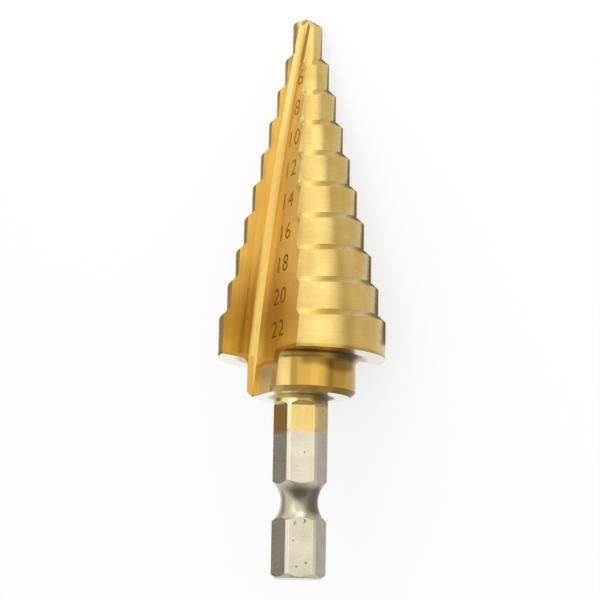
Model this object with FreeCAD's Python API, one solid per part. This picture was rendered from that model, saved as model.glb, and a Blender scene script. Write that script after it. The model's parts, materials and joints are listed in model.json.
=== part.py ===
import FreeCAD, Part
import itertools
import math
import os

from FreeCAD import Placement, Rotation, Vector

# Step drill, 4 to 22 mm in ten steps, with two straight flutes and a quarter inch hex shank.
# It is ground from one bar of high speed steel, so it is one solid.
# Lengths are millimetres and angles are degrees.
# The tool frame has its axis on Z, the tip at the top and Z = 0 at the back face of the
# widest step. The last function lays the tool down on the floor.

# Steps
SMALLEST_STEP_DIAMETER = 4.0
STEP_INCREASE = 2.0
STEP_COUNT = 10
STEP_SPACING = 4.42
SHOULDER_LENGTH = 0.94
TIP_STEP_LENGTH = 4.3
WIDEST_STEP_LENGTH = 5.2

# Relief of the lands, which fall away from the cutting edge to the heel
CUTTING_EDGE_ANGLE = 20.0
LAND_ANGLE = 113.0
AXIAL_RELIEF = 1.28
RADIAL_RELIEF_SHARE = 0.012
RELIEF_LEAD_ANGLE = 36.0

# Drill point, a cone that is relieved behind its two lips like the lands
POINT_ANGLE = 126.0
POINT_CLEARANCE = 10.0
APEX_RADIUS = 0.05

# Flutes, each a V with a narrow flat root that runs outwards from the tip on a long arc
FLUTE_ANGLE = 70.0
NUMBERED_WALL_TURN = 26.0
ROOT_ON_CUTTING_WALL = 1.12
ROOT_ON_NUMBERED_WALL = 0.7
ROOT_OUT_AT_TIP = 0.13
ROOT_OUT_AT_BACK = 6.26
ROOT_ASIDE_AT_TIP = -0.47
ROOT_ASIDE_AT_BACK = 0.52
ROOT_PATH_BOW = 0.47

# Collar behind the widest step
COLLAR_DIAMETER = 14.2
COLLAR_LENGTH = 5.1
COLLAR_CHAMFER = 0.7
COLLAR_FILLET = 0.9

# Hex shank
HEX_ACROSS_FLATS = 6.35
HEX_CORNER_DIAMETER = 7.09
FIRST_FLAT_ANGLE = 34.4
FLAT_RUN_OUT = 0.8
NECK_LENGTH = 0.6
NECK_FILLET = 0.5
SHANK_LENGTH = 23.5
SHANK_CHAMFER = 0.55

# Ball groove of the hex shank
GROOVE_TO_END = 9.9
GROOVE_DIAMETER = 4.85
GROOVE_RADIUS = 3.5

RELIEF_SECTIONS = 13
CUTTER_MARGIN = 3.0

# Rest on the floor
LOWER_FLUTE_ANGLE = 51.0
TOUCH = 1e-6

AXIS = Vector(0, 0, 1)
ORIGIN = Vector(0, 0, 0)


def step_radius(number):
    """Radius of a step, counted from 0 at the tip."""
    return (SMALLEST_STEP_DIAMETER + number * STEP_INCREASE) / 2


def step_top(number):
    """Height of the outer corner where a step's shoulder meets its land."""
    return WIDEST_STEP_LENGTH + (STEP_COUNT - 1 - number) * STEP_SPACING


WIDEST_RADIUS = step_radius(STEP_COUNT - 1)
POINT_BASE = step_top(1) + SHOULDER_LENGTH + TIP_STEP_LENGTH
POINT_HEIGHT = step_radius(0) / math.tan(math.radians(POINT_ANGLE / 2))
POINT_RELIEF = step_radius(0) * math.radians(LAND_ANGLE) * math.tan(math.radians(POINT_CLEARANCE))
TIP = POINT_BASE + POINT_HEIGHT
SHANK_END = -COLLAR_LENGTH - SHANK_LENGTH


def step_profile():
    """Corners of the outline from the back rim to the apex, as (radius, height, relief).

    The relief is how far a corner has fallen at the heel of its land.
    """
    corners = [(WIDEST_RADIUS, 0.0, 0.0)]
    for number in range(STEP_COUNT - 1, 0, -1):
        corners.append((step_radius(number), step_top(number), AXIAL_RELIEF))
        corners.append((step_radius(number - 1), step_top(number) + SHOULDER_LENGTH, AXIAL_RELIEF))
    corners.append((step_radius(0), POINT_BASE, POINT_RELIEF))
    corners.append((APEX_RADIUS, TIP, 0.0))
    return corners


def relieved_point(corner, behind):
    """Where a corner of the outline lies at an angle behind the cutting edge."""
    radius, height, relief = corner
    fall = behind / LAND_ANGLE
    reach = radius * (1 - RADIAL_RELIEF_SHARE * fall)
    turn = math.radians(CUTTING_EDGE_ANGLE - behind)
    return Vector(reach * math.cos(turn), reach * math.sin(turn), height - relief * fall)


def relieved_curve(corner):
    """Spiral that one corner of the outline follows round half a turn."""
    pitch = 180.0 / (RELIEF_SECTIONS - 1)
    angles = [i * pitch - RELIEF_LEAD_ANGLE for i in range(RELIEF_SECTIONS)]
    points = [relieved_point(corner, a) for a in angles]
    nudge = 0.01

    def tangent(angle):
        ahead = relieved_point(corner, angle + nudge)
        return (ahead - relieved_point(corner, angle - nudge)) / (2 * nudge)

    curve = Part.BSplineCurve()
    curve.interpolate(Points=points, Parameters=angles,
                      InitialTangent=tangent(angles[0]), FinalTangent=tangent(angles[-1]))
    return curve.toShape()


def relieved_half():
    """Half of the stepped body, whose lands fall away behind the cutting edge."""
    corners = step_profile()
    curves = [relieved_curve(corner) for corner in corners]
    faces = [Part.makeRuledSurface(a, b) for a, b in zip(curves, curves[1:])]
    starts = [relieved_point(corner, -RELIEF_LEAD_ANGLE) for corner in corners]
    ends = [relieved_point(corner, 180.0 - RELIEF_LEAD_ANGLE) for corner in corners]
    outline = starts + ends[::-1] + starts[:1]
    faces.append(Part.Face(Part.makePolygon(outline)))
    for curve, a, b in ((curves[0], starts[0], ends[0]), (curves[-1], starts[-1], ends[-1])):
        faces.append(Part.Face(Part.Wire([curve, Part.makeLine(b, a)])))
    shell = Part.makeShell(faces)
    shell.sewShape()
    half = Part.Solid(shell)
    if half.Volume < 0:
        half.reverse()
    return half


def turned_arc(start, middle, end):
    """Arc of an outline through three corners given as (radius, height)."""
    corners = [Vector(r, 0, z) for r, z in (start, middle, end)]
    return Part.Arc(*corners).toBSpline().toShape()


def turned_line(start, end):
    """Straight run of an outline between two corners given as (radius, height)."""
    return Part.makeLine(Vector(start[0], 0, start[1]), Vector(end[0], 0, end[1]))


def turned_shank():
    """Collar, neck and round blank of the shank, turned in one piece with the steps."""
    collar = COLLAR_DIAMETER / 2
    neck = HEX_CORNER_DIAMETER / 2
    diagonal = math.sqrt(0.5)
    root = step_top(STEP_COUNT - 1) / 2

    rim = (collar + COLLAR_FILLET, 0.0)
    collar_top = (collar, -COLLAR_FILLET)
    collar_round = (collar + COLLAR_FILLET * (1 - diagonal), -COLLAR_FILLET * (1 - diagonal))
    collar_low = (collar, COLLAR_CHAMFER - COLLAR_LENGTH)
    underside = (collar - COLLAR_CHAMFER, -COLLAR_LENGTH)
    neck_wide = (neck + NECK_FILLET, -COLLAR_LENGTH)
    neck_round = (neck + NECK_FILLET * (1 - diagonal),
                  -COLLAR_LENGTH - NECK_FILLET * (1 - diagonal))
    neck_narrow = (neck, -COLLAR_LENGTH - NECK_FILLET)
    shank_low = (neck, SHANK_END + SHANK_CHAMFER)
    shank_face = (neck - SHANK_CHAMFER, SHANK_END)
    bottom = (0.0, SHANK_END)
    top = (0.0, root)
    inside = (rim[0], root)
    edges = [
        turned_line(top, inside),
        turned_line(inside, rim),
        turned_arc(rim, collar_round, collar_top),
        turned_line(collar_top, collar_low),
        turned_line(collar_low, underside),
        turned_line(underside, neck_wide),
        turned_arc(neck_wide, neck_round, neck_narrow),
        turned_line(neck_narrow, shank_low),
        turned_line(shank_low, shank_face),
        turned_line(shank_face, bottom),
        turned_line(bottom, top),
    ]
    face = Part.Face(Part.Wire(edges))
    return face.revolve(ORIGIN, AXIS, 360)


def hex_flat(turn):
    """Cutter for one flat of the shank, which runs out in a round just behind the collar."""
    flat = HEX_ACROSS_FLATS / 2
    outside = flat + CUTTER_MARGIN
    top = -COLLAR_LENGTH - NECK_LENGTH
    low = SHANK_END - CUTTER_MARGIN
    partway = FLAT_RUN_OUT * (1 - math.sqrt(0.5))
    start = (flat, top - FLAT_RUN_OUT)
    middle = (flat + partway, top - partway)
    end = (flat + FLAT_RUN_OUT, top)
    edges = [
        turned_line((flat, low), start),
        turned_arc(start, middle, end),
        turned_line(end, (outside, top)),
        turned_line((outside, top), (outside, low)),
        turned_line((outside, low), (flat, low)),
    ]
    face = Part.Face(Part.Wire(edges))
    face.translate(Vector(0, -HEX_CORNER_DIAMETER / 2, 0))
    cutter = face.extrude(Vector(0, HEX_CORNER_DIAMETER, 0))
    cutter.rotate(ORIGIN, AXIS, turn)
    return cutter


def ball_groove():
    """Round groove that the chuck's balls lock into."""
    middle = SHANK_END + GROOVE_TO_END
    waist = GROOVE_DIAMETER / 2
    reach = HEX_CORNER_DIAMETER / 2 + NECK_FILLET - waist
    half = math.sqrt(GROOVE_RADIUS ** 2 - (GROOVE_RADIUS - reach) ** 2)
    top = (waist + reach, middle + half)
    bottom = (waist + reach, middle - half)
    edges = [turned_arc(top, (waist, middle), bottom), turned_line(bottom, top)]
    return Part.Face(Part.Wire(edges)).revolve(ORIGIN, AXIS, 360)


def flute_section():
    """V of the flute across the tool, with its corner at the origin and a narrow flat root.

    The numbered wall and the cutting wall leave the root towards the rim.
    """
    reach = 2 * WIDEST_RADIUS
    wall = math.radians(270 + NUMBERED_WALL_TURN)
    cutting = wall - math.radians(FLUTE_ANGLE)
    spots = [(reach, cutting), (ROOT_ON_CUTTING_WALL, cutting),
             (ROOT_ON_NUMBERED_WALL, wall), (reach, wall)]
    corners = [Vector(away * math.cos(turn), away * math.sin(turn), 0) for away, turn in spots]
    return Part.Face(Part.makePolygon(corners + corners[:1]))


def flute():
    """One flute, whose root runs outwards from the tip to the back on a long arc."""
    tip = Vector(-ROOT_OUT_AT_TIP, ROOT_ASIDE_AT_TIP, TIP)
    back = Vector(-ROOT_OUT_AT_BACK, ROOT_ASIDE_AT_BACK, 0)
    chord = back - tip
    hinge = chord.cross(Vector(-1, 0, 0)).normalize()
    outwards = hinge.cross(chord).normalize()
    arc_radius = chord.Length ** 2 / (8 * ROOT_PATH_BOW) + ROOT_PATH_BOW / 2
    deepest = (tip + back) / 2 + outwards * ROOT_PATH_BOW
    centre = deepest - outwards * arc_radius
    section = flute_section()
    section.translate(deepest)
    overrun = COLLAR_LENGTH + CUTTER_MARGIN
    span = math.degrees((chord.Length + 2 * overrun) / arc_radius)
    section.rotate(centre, hinge, -span / 2)
    return section.revolve(centre, hinge, span)


def opposite(shape):
    """Copy of a shape turned half round the tool's axis."""
    copy = shape.copy()
    copy.rotate(ORIGIN, AXIS, 180)
    return copy


def step_drill():
    """The whole tool, upright on its own axis."""
    half = relieved_half()
    blank = half.fuse([opposite(half), turned_shank()])
    upper_flute = flute()
    flats = [hex_flat(FIRST_FLAT_ANGLE + 60 * number) for number in range(6)]
    cutters = flats + [ball_groove(), upper_flute, opposite(upper_flute)]
    return blank.cut(cutters).removeSplitter().Solids[0]


def resting_way(drill):
    """Way down through the tool once it has rolled onto its lower flute and come to rest.

    It stands on three of its corners: no other corner lies lower than their plane, and
    the centre of mass is over the triangle between them.
    """
    flute_way = Vector(math.cos(math.radians(LOWER_FLUTE_ANGLE)),
                       math.sin(math.radians(LOWER_FLUTE_ANGLE)), 0)
    centre = drill.CenterOfMass
    arms = [v.Point - centre for v in drill.Vertexes]
    arms = [arm for arm in arms if arm.dot(flute_way) > SMALLEST_STEP_DIAMETER / 4]
    for a, b, c in itertools.combinations(arms, 3):
        down = (b - a).cross(c - a)
        if down.Length < TOUCH:
            continue
        down.normalize()
        if down.dot(flute_way) < 0:
            down = -down
        depth = down.dot(a)
        if any(down.dot(arm) > depth + TOUCH for arm in arms):
            continue
        foot = down * depth
        sides = [(q - p).cross(foot - p).dot(down) for p, q in ((a, b), (b, c), (c, a))]
        if min(sides) > 0 or max(sides) < 0:
            return down
    raise ValueError("the tool finds no rest on its lower flute")


def laid_down(drill):
    """The tool lying at rest, tip towards +Y, over the middle of its box on the floor."""
    down = resting_way(drill)
    drill = drill.copy()
    drill.Placement = Placement(ORIGIN, Rotation(down, Vector(0, 0, -1)))
    tip_way = drill.Placement.Rotation.multVec(AXIS)
    drill.rotate(ORIGIN, AXIS, 90 - math.degrees(math.atan2(tip_way.y, tip_way.x)))
    box = drill.optimalBoundingBox(False)
    drill.translate(Vector(-box.Center.x, -box.Center.y, -box.ZMin))
    return drill


if __name__ == "__main__":
    os.makedirs("parts", exist_ok=True)
    laid_down(step_drill()).exportStep("parts/step_drill.step")
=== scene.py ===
import json
import math
from types import SimpleNamespace

import bpy
from mathutils import Matrix, Vector
from mathutils.bvhtree import BVHTree


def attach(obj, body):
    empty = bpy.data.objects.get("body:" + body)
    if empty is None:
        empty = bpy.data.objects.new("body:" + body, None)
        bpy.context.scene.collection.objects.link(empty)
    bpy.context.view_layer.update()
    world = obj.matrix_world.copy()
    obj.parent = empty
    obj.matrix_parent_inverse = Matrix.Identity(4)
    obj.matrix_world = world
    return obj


# Step drill with a gold coating, lying on a pale floor.
#
# The drill has its own directions, in millimetres: height runs along its axis from 0 at the
# back face of the widest step, with the tip ahead and the shank behind, and radius and angle
# are taken round the axis. `place` is the matrix from there to the scene, which is in metres.
MM = 0.001

# Measures of the drill, as it is built in CAD
TIP = 46.82
SHANK_END = -28.6
END_CHAMFER_HEIGHT = -28.03
GROOVE_HEIGHT = -18.7
WIDEST_RADIUS = 11.0
WIDEST_STEP_LENGTH = 5.2
STEP_SPACING = 4.42
STEP_SIZES = (22, 20, 18, 16, 14, 12, 10, 8, 6)
# Root of the flute at the tip and at the back, and how far it bows out between them
ROOT_TIP = Vector((-0.13, -0.47))
ROOT_BACK = Vector((-6.26, 0.52))
ROOT_BOW = 0.47
# Angle, in degrees, of the side that the drill lies on
DOWN_POLAR = 56.659

# Camera, fitted to the photograph: its place in the drill's own directions
IMAGE_WIDTH = 600
FOCAL_PIXELS = 1924.3
SENSOR_WIDTH = 36.0
CLIP_START = 0.01
CLIP_END = 20.0
CAMERA_DISTANCE = 254.34
CAMERA_PITCH = 10.99
CAMERA_ROLL = 1.029
AIM_ASIDE = -0.368
AIM_ALONG = 7.958

# Studio
STUDIO_AIM = Vector((0, 0, 10))
FLOOR_SIZE = 4.0
FLOOR_COLOUR = (0.85, 0.85, 0.85)
FLOOR_GLOW_SHARE = 0.75
CARD_GAP = 0.05
WARM_TINT = (1.0, 0.86, 0.62)
PALE_TINT = (1.0, 0.95, 0.84)
NO_TINT = (1.0, 1.0, 1.0)

# Etched step sizes on the numbered wall of the upper flute
WALL_ANGLE = 296.0
NUMBER_HEIGHT = 2.3
NUMBER_STRETCH = 1.08
NUMBER_TEXT_SIZE = 1.4
NUMBER_RESOLUTION = 4
NUMBER_THINNING = -0.003
NUMBER_PROUD = 0.008
NUMBER_DEPTH = 0.02
NUMBER_GAP = 1.12
NUMBER_SPACING = 4.37
FIRST_NUMBER_ALONG = 2.98
FIRST_NUMBER_ASIDE = 6.4
LAST_NUMBER_ASIDE = 1.8
PROBE_START = 4.0
ETCH_BROWN = (0.18, 0.082, 0.008)
ETCH_PATCH_BROWN = (0.36, 0.164, 0.016)
ETCH_FAINT = (0.42, 0.22, 0.035)
ETCH_FAINT_HEIGHTS = (8.0, 34.0)
ETCH_FAINT_COVER = 0.9
ETCH_CLOUD_SCALE = 2500.0
ETCH_CLOUD_DETAIL = 2.0
ETCH_ROUGHNESS = 0.6

# Masks below are pairs: a mask rises from 0 at the first value to 1 at the second. Heights,
# radii and the distance aside from the flute's root are in millimetres, angles round the axis
# are in radians, and sides are the cosine of that angle, so 1 is the photograph's right. A
# band is two pairs: it rises over the first and falls over the second. A cover says how
# strongly a colour lies over the one below, and a share is a mask's factor and its least value.

# Lands of the steps, collar, and the two walls of a flute
LAND_FACING = (0.9, 0.94)
LAND_TO_OUTLINE = (-1.9, -1.5)
FACING_BACK = (0.8, 0.95)
COLLAR_TOP = (0.6, 0.2)
COLLAR_SIDE = (6.2, 6.35)
WALL_HEIGHTS = (-5.15, -5.05)
NUMBERED_ASIDE = (0.2, 0.4)
CUTTING_ASIDE = (-0.7, -0.9)

# Patches and grinding marks
CLOUD_SCALE = 0.35
CLOUD_DETAIL = 3.0
PATCHES = (0.3, 0.7)
MARK_DETAIL = 4.0
MARK_ROUGHNESS = 0.65
RING_PITCH = 0.6
RING_MARK_SCALE = (1.0, 9.0, 9.0)
LONG_MARK_SCALE = (6.0, 6.0, 0.1)
CROSS_MARK_SCALE = (0.5, 0.5, 7.0)
GRAIN = (0.42, 0.7)
GRAIN_COVER = 0.22
SCRATCH_SCALE = (5.0, 16.0, 16.0)
SCRATCHES = (0.62, 0.68)
SCRATCHED_PATCHES = (0.42, 0.6)
SCRATCH_COVER = 0.45

# Gold of the lands and of the flute's walls
GOLD_DEEP = (0.59, 0.405, 0.105)
GOLD_PALE = (0.67, 0.50, 0.165)
GOLD_BROWN = (0.46, 0.27, 0.05)
ROOT_GOLD = (0.60, 0.385, 0.08)
ROOT_COVER = 0.85
# Paler gold on the cutting wall towards the tip is painted highlight
CUTTING_WALL_HIGHLIGHT_GOLD = (0.88, 0.72, 0.34)
CUTTING_WALL_HIGHLIGHT_HEIGHTS = (3.0, 15.0)
WALL_HIGHLIGHT_PALE = (1.0, 0.94, 0.58)
WALL_HIGHLIGHT_HEIGHTS = (19.0, 27.0)
WALL_HIGHLIGHT_ASIDE = (-3.4, -1.2)
WALL_HIGHLIGHT_COVER = 0.6
NUMBERED_WALL_GOLD = (0.67, 0.455, 0.145)

# Darker and paler stretches of the walls, with painted shade beside the root and at the tip
FLUTE_BROWN = (0.34, 0.185, 0.025)
STREAK_SCALE = (1.4, 1.4, 0.05)
STREAKS = (0.42, 0.6)
STREAK_AND_SHADE_SHARE = (0.62, 0.52)
STREAK_AND_SHADE_BAND = ((-0.3, -0.75), (-3.6, -1.9))
STREAK_AND_SHADE_HEIGHTS = (19.0, 3.0)
DULL_WALL_HEIGHTS = (12.0, 24.0)
DULL_WALL_ASIDE = (-0.35, 0.3)
DULL_WALL_COVER = 0.43
# Painted shade in the flute's valley at the tip
VALLEY_SHADE_BROWN = (0.19, 0.12, 0.02)
VALLEY_SHADE_HEIGHTS = (38.5, 41.5)
VALLEY_SHADE_COVER = 0.85
WALL_BASE_GOLD = (0.84, 0.69, 0.27)
WALL_BASE_HEIGHTS = (5.0, 0.5)
WALL_BASE_COVER = 0.95
WALL_END_GOLD = (0.52, 0.31, 0.045)
WALL_END_BAND = ((-0.6, -1.2), (-4.6, -1.8))
WALL_END_COVER = 0.9
# Pale gold on the cutting wall at the tip is painted highlight
TIP_WALL_HIGHLIGHT_GOLD = (0.90, 0.80, 0.46)
TIP_WALL_HIGHLIGHT_HEIGHTS = (33.0, 37.0)
TIP_GOLD = (0.66, 0.50, 0.165)
TIP_HEIGHTS = (27.0, 36.0)
TIP_ROOT_ASIDE = (0.1, -0.3)

# Collar, scorched flat of the shank, and painted reflection of the white surroundings on the faces
# that look back
COLLAR_BROWN = (0.45, 0.264, 0.040)
COLLAR_COVER = 0.85
# Paler gold on the collar's left side, where its highlight falls, is painted highlight
COLLAR_HIGHLIGHT_GOLD = (0.49, 0.345, 0.12)
COLLAR_HIGHLIGHT_BAND = ((-1.74, -1.8), (-2.6, -2.4))
SCORCHED_GOLD = (0.69, 0.36, 0.05)
SCORCHED_FLAT_BAND = ((-2.08, -2.13), (-3.09, -3.04))
SCORCH_HEIGHTS = (-5.8, -8.0)
SCORCH_COVER = 0.93
# Painted reflection of the white surroundings on the faces that look back
BACK_FACE_REFLECTION_GOLD = (0.90, 0.88, 0.80)
REFLECTION_STEP_RADII = (8.0, 9.0)
REFLECTION_COLLAR_HEIGHTS = (-3.0, -4.0)
REFLECTION_COLLAR_RADII = (4.2, 4.6)
REFLECTION_COVER = 0.9

# Painted shade under the widest step, on the collar's chamfer and on the neck
UNDER_STEP_SHADE_BROWN = (0.10, 0.045, 0.006)
SHADE_MIDDLE = -0.77
SHADE_SPREAD = (0.55, 0.0)
SHADE_DROP = 0.8
SHADE_FOOT = (-2.1, -1.1)
SHADE_TOP = (-0.55, -0.85)
SHADE_COVER = 0.68
SHADE_BAND = ((-1.68, -1.5), (-0.2, -0.45))
SHADE_RADII = (8.2, 7.8)
FILLET_BAND = ((-0.75, -0.5), (0.05, 0.0))
FILLET_START = (-1.7, -1.4)
FILLET_COVER = 0.36
CHAMFER_BAND = ((-4.38, -4.42), (-5.12, -5.08))
CHAMFER_SIDE = (0.0, 0.5)
CHAMFER_SHARE = (0.46, 0.06)
NECK_HEIGHTS = (-5.0, -5.1)
NECK_SHADE_HEIGHTS = (-6.6, -5.9)
NECK_SHADE_RADII = (4.7, 4.2)
NECK_SHADE_START = (-0.23, -0.03)
NECK_SHADE_SIDE = (0.17, 0.62)
NECK_SHADE_SHARE = (0.5, 0.15)

# Painted shade in the corners behind the widest step and behind the collar
CORNER_SHADE = (0.05, 0.028, 0.006)
CORNER_SHADE_RAGGED = 1.5
CORNER_SHADE_OUTER_RADII = (9.0, 7.9)
CORNER_SHADE_INNER_RADII = (6.9, 7.05)
CORNER_SHADE_BAND = ((-1.1, -0.5), (0.1, 0.02))
CORNER_SHADE_MIDDLE = -0.66
CORNER_SHADE_SPREAD = (0.5, 0.16)
CORNER_SHADE_SHARE = (0.72, 0.1)
NECK_CORNER_SHADE_HEIGHTS = (-6.3, -5.4)
NECK_CORNER_SHADE_RADII = (4.6, 4.0)
NECK_CORNER_SHADE_SIDE = (0.17, 0.54)
NECK_CORNER_SHADE_SHARE = (0.35, 0.25)

# Bare steel, the end of the coat and the painted highlights on the corners of the hex
STEEL_DARK = (0.50, 0.46, 0.34)
STEEL_PALE = (0.61, 0.55, 0.41)
# Grime in the pits, and painted shade in the groove, darker on its uphill side
GRIME_AND_GROOVE_SHADE = (0.14, 0.12, 0.08)
GROOVE_REACH = (2.6, 1.2)
GROOVE_SHADE_UPHILL = (-1.2, 0.4)
GROOVE_SHADE_SHARE = (0.86, 0.11)
PIT_SCALE = 2.2
PIT_DETAIL = 2.0
PITS = (0.68, 0.74)
PIT_COVER = 0.5
END_CHAMFER_HEIGHTS = (END_CHAMFER_HEIGHT, END_CHAMFER_HEIGHT - 0.1)
END_CHAMFER_COVER = 0.12
COAT_RAGGED = 2.0
COAT_END_HEIGHTS = (-9.5, -10.3)
GOLD_COPPER = (0.70, 0.42, 0.17)
COPPER_HEIGHTS = (-8.9, -9.5)
COPPER_COVER = 0.7
CORNER_HIGHLIGHT_GOLD = (0.97, 0.82, 0.48)
CORNER_HIGHLIGHT_COVER = 0.9
CORNER_HIGHLIGHT_STEEL = (0.78, 0.71, 0.60)
CORNER_BAND = ((3.5, 3.53), (3.6, 3.57))
CORNER_HEIGHTS = (-6.5, -6.9)
CORNER_COVER = 0.4
LEFT_CORNER = -2.018
LEFT_CORNER_SPREAD = (0.4, 0.25)
LEFT_CORNER_HEIGHTS = (-5.4, -5.6)

# Nicks on the shank, as (degrees round, height, radius, size), and burrs beside the neck
NICK_GREY = (0.13, 0.11, 0.08)
NICK_COVER = 0.8
SHANK_NICKS = ((262, -21.7, 3.3, 0.3), (281, -21.4, 3.3, 0.4), (266, -27.2, 3.3, 0.2),
               (287, -26.7, 3.3, 0.22), (280, -12.6, 3.3, 0.22))
CRUMB_SCALE = 3.2
CRUMB_DETAIL = 3.0
NICK_CRUMBS = (0.4, 0.5)
BURR_CRUMBS = (0.5, 0.58)
BURR_MIDDLE = -0.62
BURR_SPREAD = (0.4, 0.2)
BURR_BAND = ((-5.0, -5.1), (-7.6, -6.6))
BURR_RADII = (4.5, 4.2)

# Polish, clear shine of the coat and relief of the marks
WALL_ROUGHNESS = 0.2
CUTTING_WALL_ROUGHNESS = 0.36
LAND_ROUGHNESS = 0.28
COLLAR_ROUGHNESS = 0.16
STEEL_ROUGHNESS = 0.28
GROOVE_ROUGHNESS = 0.33
CORNER_SHADE_ROUGHNESS = 0.6
MARK_ROUGHENING = 0.14
COAT_SHINE = 0.6
COAT_ROUGHNESS = 0.25
COLLAR_DULLING = 0.8
SCRATCH_DEPTH = 0.4
HOLLOW_DEPTH = -3.0
BUMP_STRENGTH = 0.22
BUMP_DISTANCE = 0.00002


# Directions of the drill

def polar(radius, angle, height):
    """Point in the drill's own directions, with its angle in degrees."""
    turn = math.radians(angle)
    return Vector((radius * math.cos(turn), radius * math.sin(turn), height))


def drill_place(record):
    """Matrix from the drill's own millimetres to the scene, taken from its shank end."""
    mount = next(m for m in record["mounts"] if m["name"] == "shank_end")
    forwards = -Vector(mount["axis"]).normalized()
    down = Vector((0, 0, -1))
    down = (down - forwards * down.dot(forwards)).normalized()
    side = forwards.cross(down)
    turn = math.radians(DOWN_POLAR)
    x_way = down * math.cos(turn) - side * math.sin(turn)
    y_way = down * math.sin(turn) + side * math.cos(turn)
    origin = Vector(mount["pos_m"]) - forwards * (SHANK_END * MM)
    turned = Matrix((x_way, y_way, forwards)).transposed()
    return Matrix.LocRotScale(origin, turned.to_quaternion(), Vector((MM, MM, MM)))


# Shader helpers

def node(tree, kind, inputs=None, **settings):
    """Adds a node with its settings and input values or links."""
    made = tree.nodes.new(kind)
    for name, value in settings.items():
        setattr(made, name, value)
    for key, value in (inputs or {}).items():
        if isinstance(value, bpy.types.NodeSocket):
            tree.links.new(value, made.inputs[key])
        else:
            made.inputs[key].default_value = value
    return made


def maths(tree, operation, *values):
    """Output of a Math node."""
    return node(tree, "ShaderNodeMath", dict(enumerate(values)), operation=operation).outputs[0]


def product(tree, first, *others):
    """Masks and values multiplied together."""
    for other in others:
        first = maths(tree, "MULTIPLY", first, other)
    return first


def fade(tree, value, limits):
    """Mask that rises from 0 to 1 as a value goes from the first limit to the second."""
    return node(tree, "ShaderNodeMapRange", {0: value, 1: limits[0], 2: limits[1]},
                interpolation_type="SMOOTHSTEP").outputs[0]


def band(tree, value, sides):
    """Mask that rises over one pair of limits and falls over the other."""
    return product(tree, fade(tree, value, sides[0]), fade(tree, value, sides[1]))


def near(tree, value, middle, spread):
    """Mask that rises as a value comes near to a middle one."""
    return fade(tree, maths(tree, "ABSOLUTE", maths(tree, "SUBTRACT", value, middle)), spread)


def partly(tree, mask, share):
    """Mask with a factor and a least value."""
    return maths(tree, "MULTIPLY_ADD", mask, *share)


def blend_value(tree, mask, low, high):
    """Value between two others."""
    return node(tree, "ShaderNodeMix", {0: mask, 2: low, 3: high}, data_type="FLOAT").outputs[0]


def blend_colour(tree, mask, low, high):
    """Colour between two others."""
    return node(tree, "ShaderNodeMix", {0: mask, 6: low, 7: high}, data_type="RGBA").outputs[2]


def paint(tree, under, colour, *masks):
    """Lays a colour over another, as strongly as the masks multiplied together."""
    return blend_colour(tree, product(tree, *masks), under, (*colour, 1))


def noise(tree, vector, scale, detail):
    """Soft cloudy value."""
    return node(tree, "ShaderNodeTexNoise", {
        "Vector": vector, "Scale": scale, "Detail": detail}).outputs[0]


def stretched_noise(tree, vector, scale):
    """Fine parallel marks: noise that is stretched along one direction."""
    mapped = node(tree, "ShaderNodeMapping", {"Vector": vector, "Scale": scale}).outputs[0]
    return node(tree, "ShaderNodeTexNoise", {
        "Vector": mapped, "Scale": 1.0, "Detail": MARK_DETAIL,
        "Roughness": MARK_ROUGHNESS}).outputs[0]


def new_material(name):
    """Material with an empty node tree."""
    material = bpy.data.materials.new(name)
    material.use_nodes = True
    material.node_tree.nodes.clear()
    return material


# Studio

def studio_camera(place):
    """Camera at the photograph's viewing angle."""
    pitch = math.radians(CAMERA_PITCH)
    roll = math.radians(CAMERA_ROLL)
    spot = Vector((AIM_ASIDE, -CAMERA_DISTANCE * math.cos(pitch),
                   AIM_ALONG - CAMERA_DISTANCE * math.sin(pitch)))
    ahead = Vector((0, math.cos(pitch), math.sin(pitch)))
    level = Vector((1, 0, 0))
    upright = Vector((0, -math.sin(pitch), math.cos(pitch)))
    right = level * math.cos(roll) + upright * math.sin(roll)
    up = upright * math.cos(roll) - level * math.sin(roll)
    turn = place.to_quaternion().to_matrix()
    axes = Matrix((turn @ right, turn @ up, turn @ -ahead)).transposed().to_4x4()
    data = bpy.data.cameras.new("photo_camera")
    data.sensor_width = SENSOR_WIDTH
    data.lens = FOCAL_PIXELS * SENSOR_WIDTH / IMAGE_WIDTH
    data.clip_start = CLIP_START
    data.clip_end = CLIP_END
    camera = bpy.data.objects.new("photo_camera", data)
    camera.matrix_world = Matrix.Translation(place @ spot) @ axes
    bpy.context.scene.collection.objects.link(camera)
    bpy.context.scene.camera = camera


def studio_world():
    """White backdrop all round, which also gives a plain soft light."""
    world = bpy.data.worlds.new("studio")
    bpy.context.scene.world = world
    world.use_nodes = True
    tree = world.node_tree
    tree.nodes.clear()
    back = node(tree, "ShaderNodeBackground", {"Color": (1, 1, 1, 1), "Strength": 1.0})
    node(tree, "ShaderNodeOutputWorld", {"Surface": back.outputs[0]})


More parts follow.
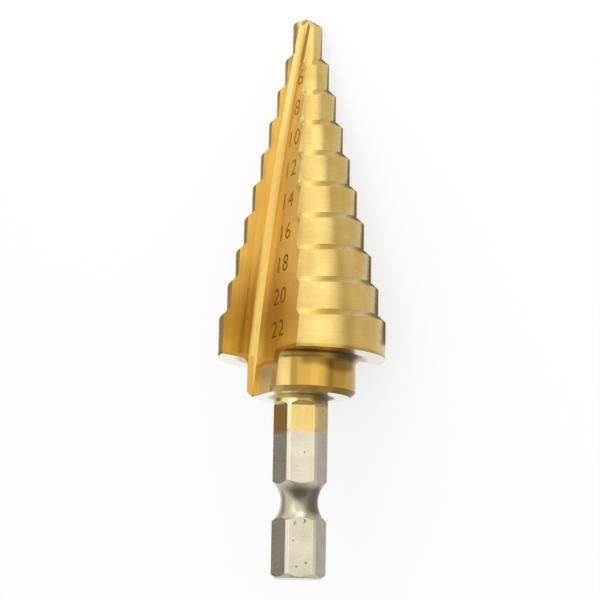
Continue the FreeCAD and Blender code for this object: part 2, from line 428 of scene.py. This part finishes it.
def studio_floor():
    """Wide pale floor that keeps the drill's soft shadow.

    Camera, glossy and transmission rays see it glow, so that it looks as white as the backdrop.
    """
    bpy.ops.object.select_all(action="DESELECT")
    bpy.ops.mesh.primitive_plane_add(size=FLOOR_SIZE, location=(0, 0, 0))
    floor = bpy.context.object
    floor.name = "floor"
    material = new_material("pale_floor")
    tree = material.node_tree
    diffuse = node(tree, "ShaderNodeBsdfDiffuse", {"Color": (*FLOOR_COLOUR, 1)})
    glow = node(tree, "ShaderNodeEmission", {"Color": (1, 1, 1, 1), "Strength": 1.0})
    path = node(tree, "ShaderNodeLightPath").outputs
    seen = maths(tree, "MAXIMUM", path["Is Camera Ray"], path["Is Glossy Ray"])
    seen = maths(tree, "MAXIMUM", seen, path["Is Transmission Ray"])
    mixed = node(tree, "ShaderNodeMixShader", {
        0: product(tree, seen, FLOOR_GLOW_SHARE), 1: diffuse.outputs[0], 2: glow.outputs[0]})
    node(tree, "ShaderNodeOutputMaterial", {"Surface": mixed.outputs[0]})
    floor.data.materials.append(material)


def facing_axes(place, spot, slant):
    """Turn of a flat lamp or card that faces the drill, slanted about its line of sight."""
    start = place @ spot
    forwards = (place @ STUDIO_AIM - start).normalized()
    along = place.to_quaternion() @ Vector((0, 0, 1))
    along = (along - forwards * along.dot(forwards)).normalized()
    side = along.cross(-forwards)
    axes = Matrix((side, along, -forwards)).transposed().to_4x4()
    return Matrix.Translation(start) @ axes @ Matrix.Rotation(math.radians(slant), 4, "Z")


def softbox(name, place, spot, width, length, brightness, slant=0.0):
    """Rectangular soft lamp, whose brightness is what a mirror would show of it."""
    data = bpy.data.lights.new(name, "AREA")
    data.shape = "RECTANGLE"
    data.size = width * MM
    data.size_y = length * MM
    data.energy = brightness * math.pi * data.size * data.size_y
    lamp = bpy.data.objects.new(name, data)
    lamp.matrix_world = facing_axes(place, spot, slant)
    bpy.context.scene.collection.objects.link(lamp)


def as_card(card, shade, tint):
    """Gives a card a glow of its shade, a painted reflection that only the drill's polished faces
    see.
    """
    material = new_material(card.name)
    tree = material.node_tree
    glow = node(tree, "ShaderNodeEmission", {"Color": (*tint, 1), "Strength": shade})
    node(tree, "ShaderNodeOutputMaterial", {"Surface": glow.outputs[0]})
    card.data.materials.append(material)
    card.visible_camera = False
    card.visible_diffuse = False
    card.visible_shadow = False


def grey_card(name, place, spot, width, length, shade):
    """Card that faces the drill from beside it."""
    bpy.ops.object.select_all(action="DESELECT")
    bpy.ops.mesh.primitive_plane_add(size=1.0)
    card = bpy.context.object
    card.name = name
    card.scale = (width * MM, length * MM, 1.0)
    bpy.ops.object.transform_apply(location=False, rotation=False, scale=True)
    card.matrix_world = facing_axes(place, spot, slant=0.0)
    as_card(card, shade, NO_TINT)


def floor_card(name, place, corners, shade, tint):
    """Card lying beside the drill, with corners given as (aside, along) millimetres."""
    along = place.to_quaternion() @ Vector((0, 0, 1))
    along = Vector((along.x, along.y, 0)).normalized()
    aside = along.cross(Vector((0, 0, 1)))
    middle = place.to_translation()
    middle.z = CARD_GAP * MM
    spots = [middle + (aside * a + along * b) * MM for a, b in corners]
    mesh = bpy.data.meshes.new(name)
    mesh.from_pydata([tuple(s) for s in spots], [], [tuple(range(len(spots)))])
    card = bpy.data.objects.new(name, mesh)
    bpy.context.scene.collection.objects.link(card)
    as_card(card, shade, tint)


def studio_lights(place):
    """Soft lamps round the drill."""
    softbox("key_lamp", place, polar(300, 291, 75),
            width=340, length=300, brightness=0.48, slant=-10)
    softbox("peak_lamp", place, polar(300, 299, 60),
            width=90, length=240, brightness=0.3, slant=-10)
    softbox("top_lamp", place, polar(90, 232, 65), width=46, length=76, brightness=1.3)
    softbox("side_strip", place, polar(80, 236, 6), width=32, length=15, brightness=1.25)
    softbox("front_lamp", place, Vector((40, -90, 280)), width=170, length=170, brightness=3.2)


def studio_cards(place):
    """Cards that the polished faces mirror, as the photograph's darker stretches show them."""
    grey_card("flute_card", place, polar(82, 235, 18), width=34, length=9, shade=0.45)
    grey_card("left_card", place, polar(320, 150, 70), width=260, length=400, shade=0.26)
    grey_card("low_card", place, polar(250, 272, -140), width=500, length=230, shade=0.5)
    grey_card("back_card", place, Vector((0, -70, -300)), width=260, length=220, shade=0.6)
    floor_card("right_dark_strip", place, [(50, -20), (240, -20), (240, 130), (50, 130)],
               shade=0.62, tint=WARM_TINT)
    floor_card("right_pale_strip", place, [(15, -3), (50, -20), (50, 130), (5.5, 34)],
               shade=0.87, tint=PALE_TINT)
    floor_card("shank_strip", place, [(3, -34), (34, -34), (34, -6), (3, -6)],
               shade=0.64, tint=NO_TINT)
    floor_card("left_far_strip", place, [(-240, -20), (-80, -20), (-80, 80), (-240, 80)],
               shade=0.75, tint=WARM_TINT)
    floor_card("left_dark_strip", place, [(-80, 1), (-20, 1), (-12, 70), (-80, 70)],
               shade=0.3, tint=WARM_TINT)
    # Dark strip under the drill where its own shadow falls: painted shadow for the polished faces
    # to mirror
    floor_card("under_painted_shadow_strip", place, [(-9.5, 1), (11.6, 1), (1.2, 47), (-1.5, 47)],
               shade=0.15, tint=WARM_TINT)


# Finish of the drill

def drill_directions(place):
    """Node group that gives where a surface point lies on the drill, and which way it faces.

    Flute Point is the point seen from the root of the flute on its own side of the drill.
    """
    tree = bpy.data.node_groups.new("drill_directions", "ShaderNodeTree")
    for label in ("Point", "Flute Point"):
        tree.interface.new_socket(label, in_out="OUTPUT", socket_type="NodeSocketVector")
    for label in ("Around", "Radius", "Height", "Land", "Facing Back"):
        tree.interface.new_socket(label, in_out="OUTPUT", socket_type="NodeSocketFloat")
    inverse = place.inverted()
    turn = inverse.to_quaternion().to_euler()
    coords = node(tree, "ShaderNodeTexCoord")
    point = node(tree, "ShaderNodeMapping", {
        "Vector": coords.outputs["Object"], "Location": inverse.to_translation(),
        "Rotation": turn, "Scale": (1 / MM, 1 / MM, 1 / MM)}).outputs[0]
    facing = node(tree, "ShaderNodeMapping", {
        "Vector": node(tree, "ShaderNodeNewGeometry").outputs["True Normal"],
        "Rotation": turn}, vector_type="NORMAL").outputs[0]
    p = node(tree, "ShaderNodeSeparateXYZ", {0: point}).outputs
    n = node(tree, "ShaderNodeSeparateXYZ", {0: facing}).outputs

    def across(a, b):
        return maths(tree, "ADD", product(tree, a[0], b[0]), product(tree, a[1], b[1]))

    radius = maths(tree, "SQRT", across(p, p))
    level = maths(tree, "SQRT", across(n, n))
    never_zero = maths(tree, "MAXIMUM", product(tree, radius, level), 0.0001)
    outwards = maths(tree, "DIVIDE", across(p, n), never_zero)
    ahead = maths(tree, "DIVIDE", maths(tree, "SUBTRACT", p[2], WIDEST_STEP_LENGTH), STEP_SPACING)
    outline = maths(tree, "SUBTRACT", WIDEST_RADIUS, maths(tree, "MAXIMUM", ahead, 0.0))
    by_outline = fade(tree, maths(tree, "SUBTRACT", radius, outline), LAND_TO_OUTLINE)
    land = product(tree, fade(tree, outwards, LAND_FACING), by_outline)

    side = product(tree, maths(tree, "SIGN", p[1]), -1.0)
    share = maths(tree, "DIVIDE", p[2], TIP)
    from_root = [maths(tree, "SUBTRACT", product(tree, p[i], side), maths(
        tree, "MULTIPLY_ADD", share, ROOT_TIP[i] - ROOT_BACK[i], ROOT_BACK[i])) for i in (0, 1)]
    bow = product(tree, maths(tree, "SUBTRACT", 1.0, share), share)
    from_root[0] = maths(tree, "MULTIPLY_ADD", bow, 4 * ROOT_BOW, from_root[0])
    in_flute = node(tree, "ShaderNodeCombineXYZ", {0: from_root[0], 1: from_root[1], 2: p[2]})
    node(tree, "NodeGroupOutput", {
        "Point": point, "Flute Point": in_flute.outputs[0],
        "Around": maths(tree, "ARCTAN2", p[1], p[0]), "Radius": radius, "Height": p[2],
        "Land": land, "Facing Back": product(tree, n[2], -1.0)})
    return tree


def drill_masks(tree, directions):
    """What the finish needs to know of a point: where it lies and on which face."""
    given = node(tree, "ShaderNodeGroup", node_tree=directions).outputs
    at = SimpleNamespace(
        point=given["Point"], in_flute=given["Flute Point"], height=given["Height"],
        radius=given["Radius"], around=given["Around"], land=given["Land"])
    at.rightward = maths(tree, "COSINE", at.around)
    at.from_root = node(tree, "ShaderNodeSeparateXYZ", {0: at.in_flute}).outputs[0]
    at.cloud = noise(tree, at.point, CLOUD_SCALE, CLOUD_DETAIL)
    at.patches = fade(tree, at.cloud, PATCHES)
    at.back = fade(tree, given["Facing Back"], FACING_BACK)
    at.collar = product(tree, fade(tree, at.height, COLLAR_TOP),
                        fade(tree, at.radius, COLLAR_SIDE))
    at.turned = maths(tree, "MAXIMUM", at.land, at.collar)
    at.wall = product(tree, maths(tree, "SUBTRACT", 1.0, at.turned),
                      fade(tree, at.height, WALL_HEIGHTS))
    at.numbered = product(tree, at.wall, fade(tree, at.from_root, NUMBERED_ASIDE))
    at.cutting = product(tree, at.wall, fade(tree, at.from_root, CUTTING_ASIDE))
    at.in_groove = near(tree, at.height, GROOVE_HEIGHT, GROOVE_REACH)
    return at


def ragged(tree, at, depth):
    """Distance by which a cloudy edge strays from its line."""
    return product(tree, maths(tree, "SUBTRACT", at.cloud, 0.5), depth)


def wall_gold(tree, at, gold):
    """Gold of the flute: its root, its numbered wall, and its cutting wall, paler towards the tip
    as painted highlight.
    """
    gold = paint(tree, gold, ROOT_GOLD, at.wall, ROOT_COVER)
    # Cutting wall paler towards the tip: painted highlight
    gold = paint(tree, gold, CUTTING_WALL_HIGHLIGHT_GOLD, at.cutting,
                 fade(tree, at.height, CUTTING_WALL_HIGHLIGHT_HEIGHTS))
    gold = paint(tree, gold, WALL_HIGHLIGHT_PALE, at.cutting, fade(tree, at.height, WALL_HIGHLIGHT_HEIGHTS),
                 fade(tree, at.from_root, WALL_HIGHLIGHT_ASIDE), WALL_HIGHLIGHT_COVER)
    return paint(tree, gold, NUMBERED_WALL_GOLD, at.numbered)


def wall_shades(tree, at, gold):
    """Streaks beside the root over painted shade, painted shade and highlight at the tip, and the
    stretches where the walls are darker or paler.
    """
    streaks_and_shade = fade(tree, stretched_noise(tree, at.in_flute, STREAK_SCALE), STREAKS)
    # Grinding streaks over painted shade that grows towards the wide end of the flute
    streaks_and_shade = product(tree, at.wall, band(tree, at.from_root, STREAK_AND_SHADE_BAND),
                      partly(tree, streaks_and_shade, STREAK_AND_SHADE_SHARE), fade(tree, at.height, STREAK_AND_SHADE_HEIGHTS))
    dull = product(tree, at.wall, fade(tree, at.height, DULL_WALL_HEIGHTS),
                   fade(tree, at.from_root, DULL_WALL_ASIDE), DULL_WALL_COVER)
    gold = paint(tree, gold, FLUTE_BROWN, maths(tree, "MAXIMUM", streaks_and_shade, dull))
    # Painted shade in the valley at the tip
    gold = paint(tree, gold, VALLEY_SHADE_BROWN, at.numbered,
                 fade(tree, at.height, VALLEY_SHADE_HEIGHTS), VALLEY_SHADE_COVER)
    gold = paint(tree, gold, WALL_BASE_GOLD, at.numbered,
                 fade(tree, at.height, WALL_BASE_HEIGHTS), WALL_BASE_COVER)
    gold = paint(tree, gold, WALL_END_GOLD, at.numbered,
                 band(tree, at.height, WALL_END_BAND), WALL_END_COVER)
    # Painted highlight: pale gold on the cutting wall at the tip
    gold = paint(tree, gold, TIP_WALL_HIGHLIGHT_GOLD, at.cutting, fade(tree, at.height, TIP_WALL_HIGHLIGHT_HEIGHTS))
    return paint(tree, gold, TIP_GOLD, maths(tree, "SUBTRACT", at.wall, at.cutting),
                 fade(tree, at.height, TIP_HEIGHTS), fade(tree, at.from_root, TIP_ROOT_ASIDE))


def collar_stain(tree, at):
    """Mask of painted shade under the widest step, on the collar's chamfer and on the neck."""
    bulge = near(tree, at.around, SHADE_MIDDLE, SHADE_SPREAD)
    hanging = maths(tree, "MULTIPLY_ADD", bulge, SHADE_DROP, at.height)
    ring = product(tree, fade(tree, hanging, SHADE_FOOT), fade(tree, at.height, SHADE_TOP),
                   SHADE_COVER)
    fillet = product(tree, band(tree, at.height, FILLET_BAND),
                     fade(tree, at.around, FILLET_START), FILLET_COVER)
    under_step = product(tree, maths(tree, "MAXIMUM", ring, fillet),
                         band(tree, at.around, SHADE_BAND), fade(tree, at.radius, SHADE_RADII))
    chamfer = product(tree, band(tree, at.height, CHAMFER_BAND),
                      partly(tree, fade(tree, at.rightward, CHAMFER_SIDE), CHAMFER_SHARE))
    collar = product(tree, maths(tree, "MAXIMUM", under_step, chamfer),
                     fade(tree, at.radius, COLLAR_SIDE))
    neck = product(tree, band(tree, at.height, (NECK_SHADE_HEIGHTS, NECK_HEIGHTS)),
                   fade(tree, at.radius, NECK_SHADE_RADII),
                   fade(tree, at.rightward, NECK_SHADE_START),
                   partly(tree, fade(tree, at.rightward, NECK_SHADE_SIDE), NECK_SHADE_SHARE))
    return maths(tree, "MAXIMUM", collar, neck)


def corner_soot(tree, at):
    """Mask of painted shade in the corners behind the widest step and behind the collar."""
    stray = ragged(tree, at, CORNER_SHADE_RAGGED)
    to_side = near(tree, at.around, CORNER_SHADE_MIDDLE, CORNER_SHADE_SPREAD)
    behind_step = product(tree, fade(tree, maths(tree, "ADD", at.radius, stray), CORNER_SHADE_OUTER_RADII),
                          fade(tree, at.radius, CORNER_SHADE_INNER_RADII),
                          band(tree, at.height, CORNER_SHADE_BAND), partly(tree, to_side, CORNER_SHADE_SHARE))
    neck = product(tree, fade(tree, maths(tree, "ADD", at.height, stray), NECK_CORNER_SHADE_HEIGHTS),
                   fade(tree, at.radius, NECK_CORNER_SHADE_RADII), fade(tree, at.height, NECK_HEIGHTS),
                   partly(tree, fade(tree, at.rightward, NECK_CORNER_SHADE_SIDE), NECK_CORNER_SHADE_SHARE))
    return maths(tree, "MAXIMUM", behind_step, neck)


def rubbed_corners(tree, at):
    """Mask of painted highlights on the hex's corners, the left one up to the collar."""
    left = near(tree, at.around, LEFT_CORNER, LEFT_CORNER_SPREAD)
    others = product(tree, fade(tree, at.height, CORNER_HEIGHTS), CORNER_COVER)
    brightened = blend_value(tree, left, others, fade(tree, at.height, LEFT_CORNER_HEIGHTS))
    return product(tree, brightened, band(tree, at.radius, CORNER_BAND))


def coat_colour(tree, at, marks, scratches, shaded_corners, corners, coat_edge):
    """Gold of the coating with its marks and scorching, painted shade under and behind the widest
    step, painted highlights on the collar and the hex's corners, and painted reflection on the
    faces that look back.
    """
    gold = paint(tree, (*GOLD_DEEP, 1), GOLD_PALE, at.patches)
    gold = wall_gold(tree, at, gold)
    gold = paint(tree, gold, GOLD_BROWN, fade(tree, marks, GRAIN), GRAIN_COVER)
    gold = paint(tree, gold, GOLD_BROWN, scratches, SCRATCH_COVER)
    gold = wall_shades(tree, at, gold)
    gold = paint(tree, gold, SCORCHED_GOLD, band(tree, at.around, SCORCHED_FLAT_BAND),
                 fade(tree, at.height, SCORCH_HEIGHTS), SCORCH_COVER)
    gold = paint(tree, gold, COLLAR_BROWN, at.collar, COLLAR_COVER)
    # Painted highlight: paler gold on the collar's left side
    gold = paint(tree, gold, COLLAR_HIGHLIGHT_GOLD, at.collar, band(tree, at.around, COLLAR_HIGHLIGHT_BAND))
    # Painted shade under the widest step, on the collar's chamfer and on the neck
    gold = paint(tree, gold, UNDER_STEP_SHADE_BROWN, collar_stain(tree, at))
    # Paler gold on the faces that look back: painted reflection of the white surroundings
    behind_step = fade(tree, at.radius, REFLECTION_STEP_RADII)
    behind_collar = product(tree, fade(tree, at.height, REFLECTION_COLLAR_HEIGHTS),
                            fade(tree, at.radius, REFLECTION_COLLAR_RADII))
    gold = paint(tree, gold, BACK_FACE_REFLECTION_GOLD, at.back,
                 maths(tree, "MAXIMUM", behind_step, behind_collar), REFLECTION_COVER)
    # Painted shade in the corners behind the widest step and the collar
    gold = paint(tree, gold, CORNER_SHADE, shaded_corners)
    # Painted highlight on the hex's corners
    gold = paint(tree, gold, CORNER_HIGHLIGHT_GOLD, corners, CORNER_HIGHLIGHT_COVER)
    return paint(tree, gold, GOLD_COPPER, fade(tree, coat_edge, COPPER_HEIGHTS), COPPER_COVER)


def steel_colour(tree, at, pits, corners):
    """Bare steel of the shank, with painted shade in the groove, darkest on its uphill side."""
    steel = paint(tree, (*STEEL_DARK, 1), STEEL_PALE, at.patches)
    uphill = maths(tree, "ADD", maths(tree, "SUBTRACT", at.height, GROOVE_HEIGHT),
                   product(tree, at.rightward, at.radius))
    # Painted shade in the groove, darker on its uphill side
    steel = paint(tree, steel, GRIME_AND_GROOVE_SHADE, at.in_groove,
                  partly(tree, fade(tree, uphill, GROOVE_SHADE_UPHILL), GROOVE_SHADE_SHARE))
    steel = paint(tree, steel, GRIME_AND_GROOVE_SHADE, pits, PIT_COVER)
    # Painted highlight on the hex's corners
    steel = paint(tree, steel, CORNER_HIGHLIGHT_STEEL, corners)
    return paint(tree, steel, GRIME_AND_GROOVE_SHADE, fade(tree, at.height, END_CHAMFER_HEIGHTS),
                 maths(tree, "SUBTRACT", 1.0, at.back), END_CHAMFER_COVER)


def spots(tree, point, places):
    """Mask of small round spots, each at a polar angle, height and radius with its own size."""
    mask = 0.0
    for angle, height, radius, size in places:
        gap = node(tree, "ShaderNodeVectorMath", {0: point, 1: polar(radius, angle, height)},
                   operation="DISTANCE").outputs["Value"]
        mask = maths(tree, "MAXIMUM", mask, fade(tree, gap, (size, size / 2)))
    return mask


def wear_nicks(tree, at):
    """Mask of the few nicks on the shank and of the burrs on one side of the neck."""
    crumbs = noise(tree, at.point, CRUMB_SCALE, CRUMB_DETAIL)
    burrs = product(tree, near(tree, at.around, BURR_MIDDLE, BURR_SPREAD),
                    band(tree, at.height, BURR_BAND), fade(tree, at.radius, BURR_RADII),
                    fade(tree, crumbs, BURR_CRUMBS))
    nicks = product(tree, fade(tree, crumbs, NICK_CRUMBS), spots(tree, at.point, SHANK_NICKS))
    return maths(tree, "MAXIMUM", burrs, nicks)


def drill_material(directions):
    """Gold nitride coat over ground steel that fades to bare steel on the hex shank."""
    material = new_material("gold_coat_and_steel")
    tree = material.node_tree
    at = drill_masks(tree, directions)
    ring_point = node(tree, "ShaderNodeCombineXYZ", {
        0: product(tree, maths(tree, "ABSOLUTE", at.around), RING_PITCH),
        1: at.radius, 2: at.height}).outputs[0]
    coat_marks = blend_value(tree, at.turned, stretched_noise(tree, at.in_flute, LONG_MARK_SCALE),
                             stretched_noise(tree, ring_point, RING_MARK_SCALE))
    scratches = fade(tree, stretched_noise(tree, ring_point, SCRATCH_SCALE), SCRATCHES)
    scratches = product(tree, scratches, at.land, fade(tree, at.cloud, SCRATCHED_PATCHES))
    pits = fade(tree, noise(tree, at.point, PIT_SCALE, PIT_DETAIL), PITS)
    coat_edge = maths(tree, "ADD", at.height, ragged(tree, at, COAT_RAGGED))
    bare = fade(tree, coat_edge, COAT_END_HEIGHTS)
    marks = blend_value(tree, bare, coat_marks, stretched_noise(tree, at.point, CROSS_MARK_SCALE))
    # Mask of painted shade in the corners
    shaded_corners = corner_soot(tree, at)
    corners = rubbed_corners(tree, at)
    nicks = wear_nicks(tree, at)

    colour = blend_colour(
        tree, bare, coat_colour(tree, at, coat_marks, scratches, shaded_corners, corners, coat_edge),
        steel_colour(tree, at, pits, corners))
    colour = paint(tree, colour, NICK_GREY, nicks, NICK_COVER)

    polish = blend_value(tree, at.cutting, WALL_ROUGHNESS, CUTTING_WALL_ROUGHNESS)
    for mask, roughness in ((at.land, LAND_ROUGHNESS), (at.collar, COLLAR_ROUGHNESS),
                            (bare, STEEL_ROUGHNESS), (at.in_groove, GROOVE_ROUGHNESS)):
        polish = blend_value(tree, mask, polish, roughness)
    polish = maths(tree, "MULTIPLY_ADD", maths(tree, "SUBTRACT", marks, 0.5),
                   MARK_ROUGHENING, polish)
    polish = blend_value(tree, shaded_corners, polish, CORNER_SHADE_ROUGHNESS)
    dull = maths(tree, "MAXIMUM", shaded_corners, product(tree, at.collar, COLLAR_DULLING))
    shine = product(tree, COAT_SHINE, maths(tree, "SUBTRACT", 1.0, dull))

    hollows = maths(tree, "MAXIMUM", product(tree, pits, bare), nicks)
    hollows = maths(tree, "ADD", hollows, product(tree, scratches, SCRATCH_DEPTH))
    relief = maths(tree, "MULTIPLY_ADD", hollows, HOLLOW_DEPTH, marks)
    bump = node(tree, "ShaderNodeBump", {
        "Height": relief, "Strength": BUMP_STRENGTH, "Distance": BUMP_DISTANCE})
    shader = node(tree, "ShaderNodeBsdfPrincipled", {
        "Base Color": colour, "Metallic": 1.0, "Roughness": polish, "Normal": bump.outputs[0],
        "Coat Weight": shine, "Coat Roughness": COAT_ROUGHNESS})
    node(tree, "ShaderNodeOutputMaterial", {"Surface": shader.outputs[0]})
    return material


# Etched sizes

def etch_material(directions):
    """Dull brown of the etched numbers, fainter towards the tip."""
    material = new_material("etched_brown")
    tree = material.node_tree
    coords = node(tree, "ShaderNodeTexCoord")
    cloud = noise(tree, coords.outputs["Object"], ETCH_CLOUD_SCALE, ETCH_CLOUD_DETAIL)
    height = node(tree, "ShaderNodeGroup", node_tree=directions).outputs["Height"]
    colour = paint(tree, (*ETCH_BROWN, 1), ETCH_PATCH_BROWN, cloud)
    colour = paint(tree, colour, ETCH_FAINT, fade(tree, height, ETCH_FAINT_HEIGHTS),
                   ETCH_FAINT_COVER)
    shader = node(tree, "ShaderNodeBsdfPrincipled", {
        "Base Color": colour, "Metallic": 1.0, "Roughness": ETCH_ROUGHNESS})
    node(tree, "ShaderNodeOutputMaterial", {"Surface": shader.outputs[0]})
    return material


def number_text(size):
    """A step size as a thin flat mesh, standing on nothing yet."""
    bpy.ops.object.select_all(action="DESELECT")
    bpy.ops.object.text_add(location=(0, 0, 0))
    text = bpy.context.object
    text.data.body = str(size)
    text.data.align_x = "CENTER"
    text.data.align_y = "CENTER"
    text.data.size = NUMBER_TEXT_SIZE
    text.data.space_character = NUMBER_GAP
    text.data.offset = NUMBER_THINNING
    text.data.extrude = NUMBER_DEPTH / 2
    text.data.resolution_u = NUMBER_RESOLUTION
    bpy.ops.object.convert(target="MESH")
    return text


def etched_sizes(place, drill, material):
    """Step sizes etched in the upper flute, one above the other on its numbered wall."""
    surface = BVHTree.FromObject(drill, bpy.context.evaluated_depsgraph_get())
    turn = place.to_quaternion()
    wall_way = polar(1, WALL_ANGLE, 0)
    facing = polar(1, WALL_ANGLE - 90, 0)
    numbers = []
    for row, size in enumerate(STEP_SIZES):
        share = row / (len(STEP_SIZES) - 1)
        along = FIRST_NUMBER_ALONG + row * NUMBER_SPACING
        root = ROOT_BACK.lerp(ROOT_TIP, along / TIP)
        root.x -= 4 * ROOT_BOW * (along / TIP) * (1 - along / TIP)
        aside = FIRST_NUMBER_ASIDE + (LAST_NUMBER_ASIDE - FIRST_NUMBER_ASIDE) * share
        above_wall = Vector((root.x, root.y, along)) + wall_way * aside + facing * PROBE_START
        hit, normal = surface.ray_cast(place @ above_wall, turn @ -facing)[:2]
        up = turn @ Vector((0, 0, 1))
        up = (up - normal * up.dot(normal)).normalized()
        right = up.cross(normal)
        axes = Matrix((right * NUMBER_STRETCH * NUMBER_HEIGHT * MM, up * NUMBER_HEIGHT * MM,
                       normal * MM)).transposed().to_4x4()
        middle = hit + normal * (NUMBER_PROUD - NUMBER_DEPTH / 2) * MM
        number = number_text(size)
        number.data.transform(Matrix.Translation(middle) @ axes)
        numbers.append(number)
    bpy.ops.object.select_all(action="DESELECT")
    for number in numbers:
        number.select_set(True)
    bpy.context.view_layer.objects.active = numbers[0]
    bpy.ops.object.join()
    marks = bpy.context.object
    marks.name = "etched_sizes"
    marks.data.materials.clear()
    marks.data.materials.append(material)
    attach(marks, "root")


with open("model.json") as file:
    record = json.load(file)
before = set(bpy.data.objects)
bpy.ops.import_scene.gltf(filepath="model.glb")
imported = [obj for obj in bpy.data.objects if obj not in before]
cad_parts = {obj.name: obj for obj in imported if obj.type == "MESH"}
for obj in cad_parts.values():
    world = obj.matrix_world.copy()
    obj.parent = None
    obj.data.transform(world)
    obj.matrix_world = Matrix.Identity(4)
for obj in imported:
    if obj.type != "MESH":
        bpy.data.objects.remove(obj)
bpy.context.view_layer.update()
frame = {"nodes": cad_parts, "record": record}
place = drill_place(frame["record"])
drill = frame["nodes"]["step_drill"]
directions = drill_directions(place)
finish = drill_material(directions)
for slot in drill.material_slots:
    slot.material = finish
studio_camera(place)
studio_world()
studio_floor()
etched_sizes(place, drill, etch_material(directions))
studio_lights(place)
studio_cards(place)
bpy.context.scene.view_settings.view_transform = "Standard"
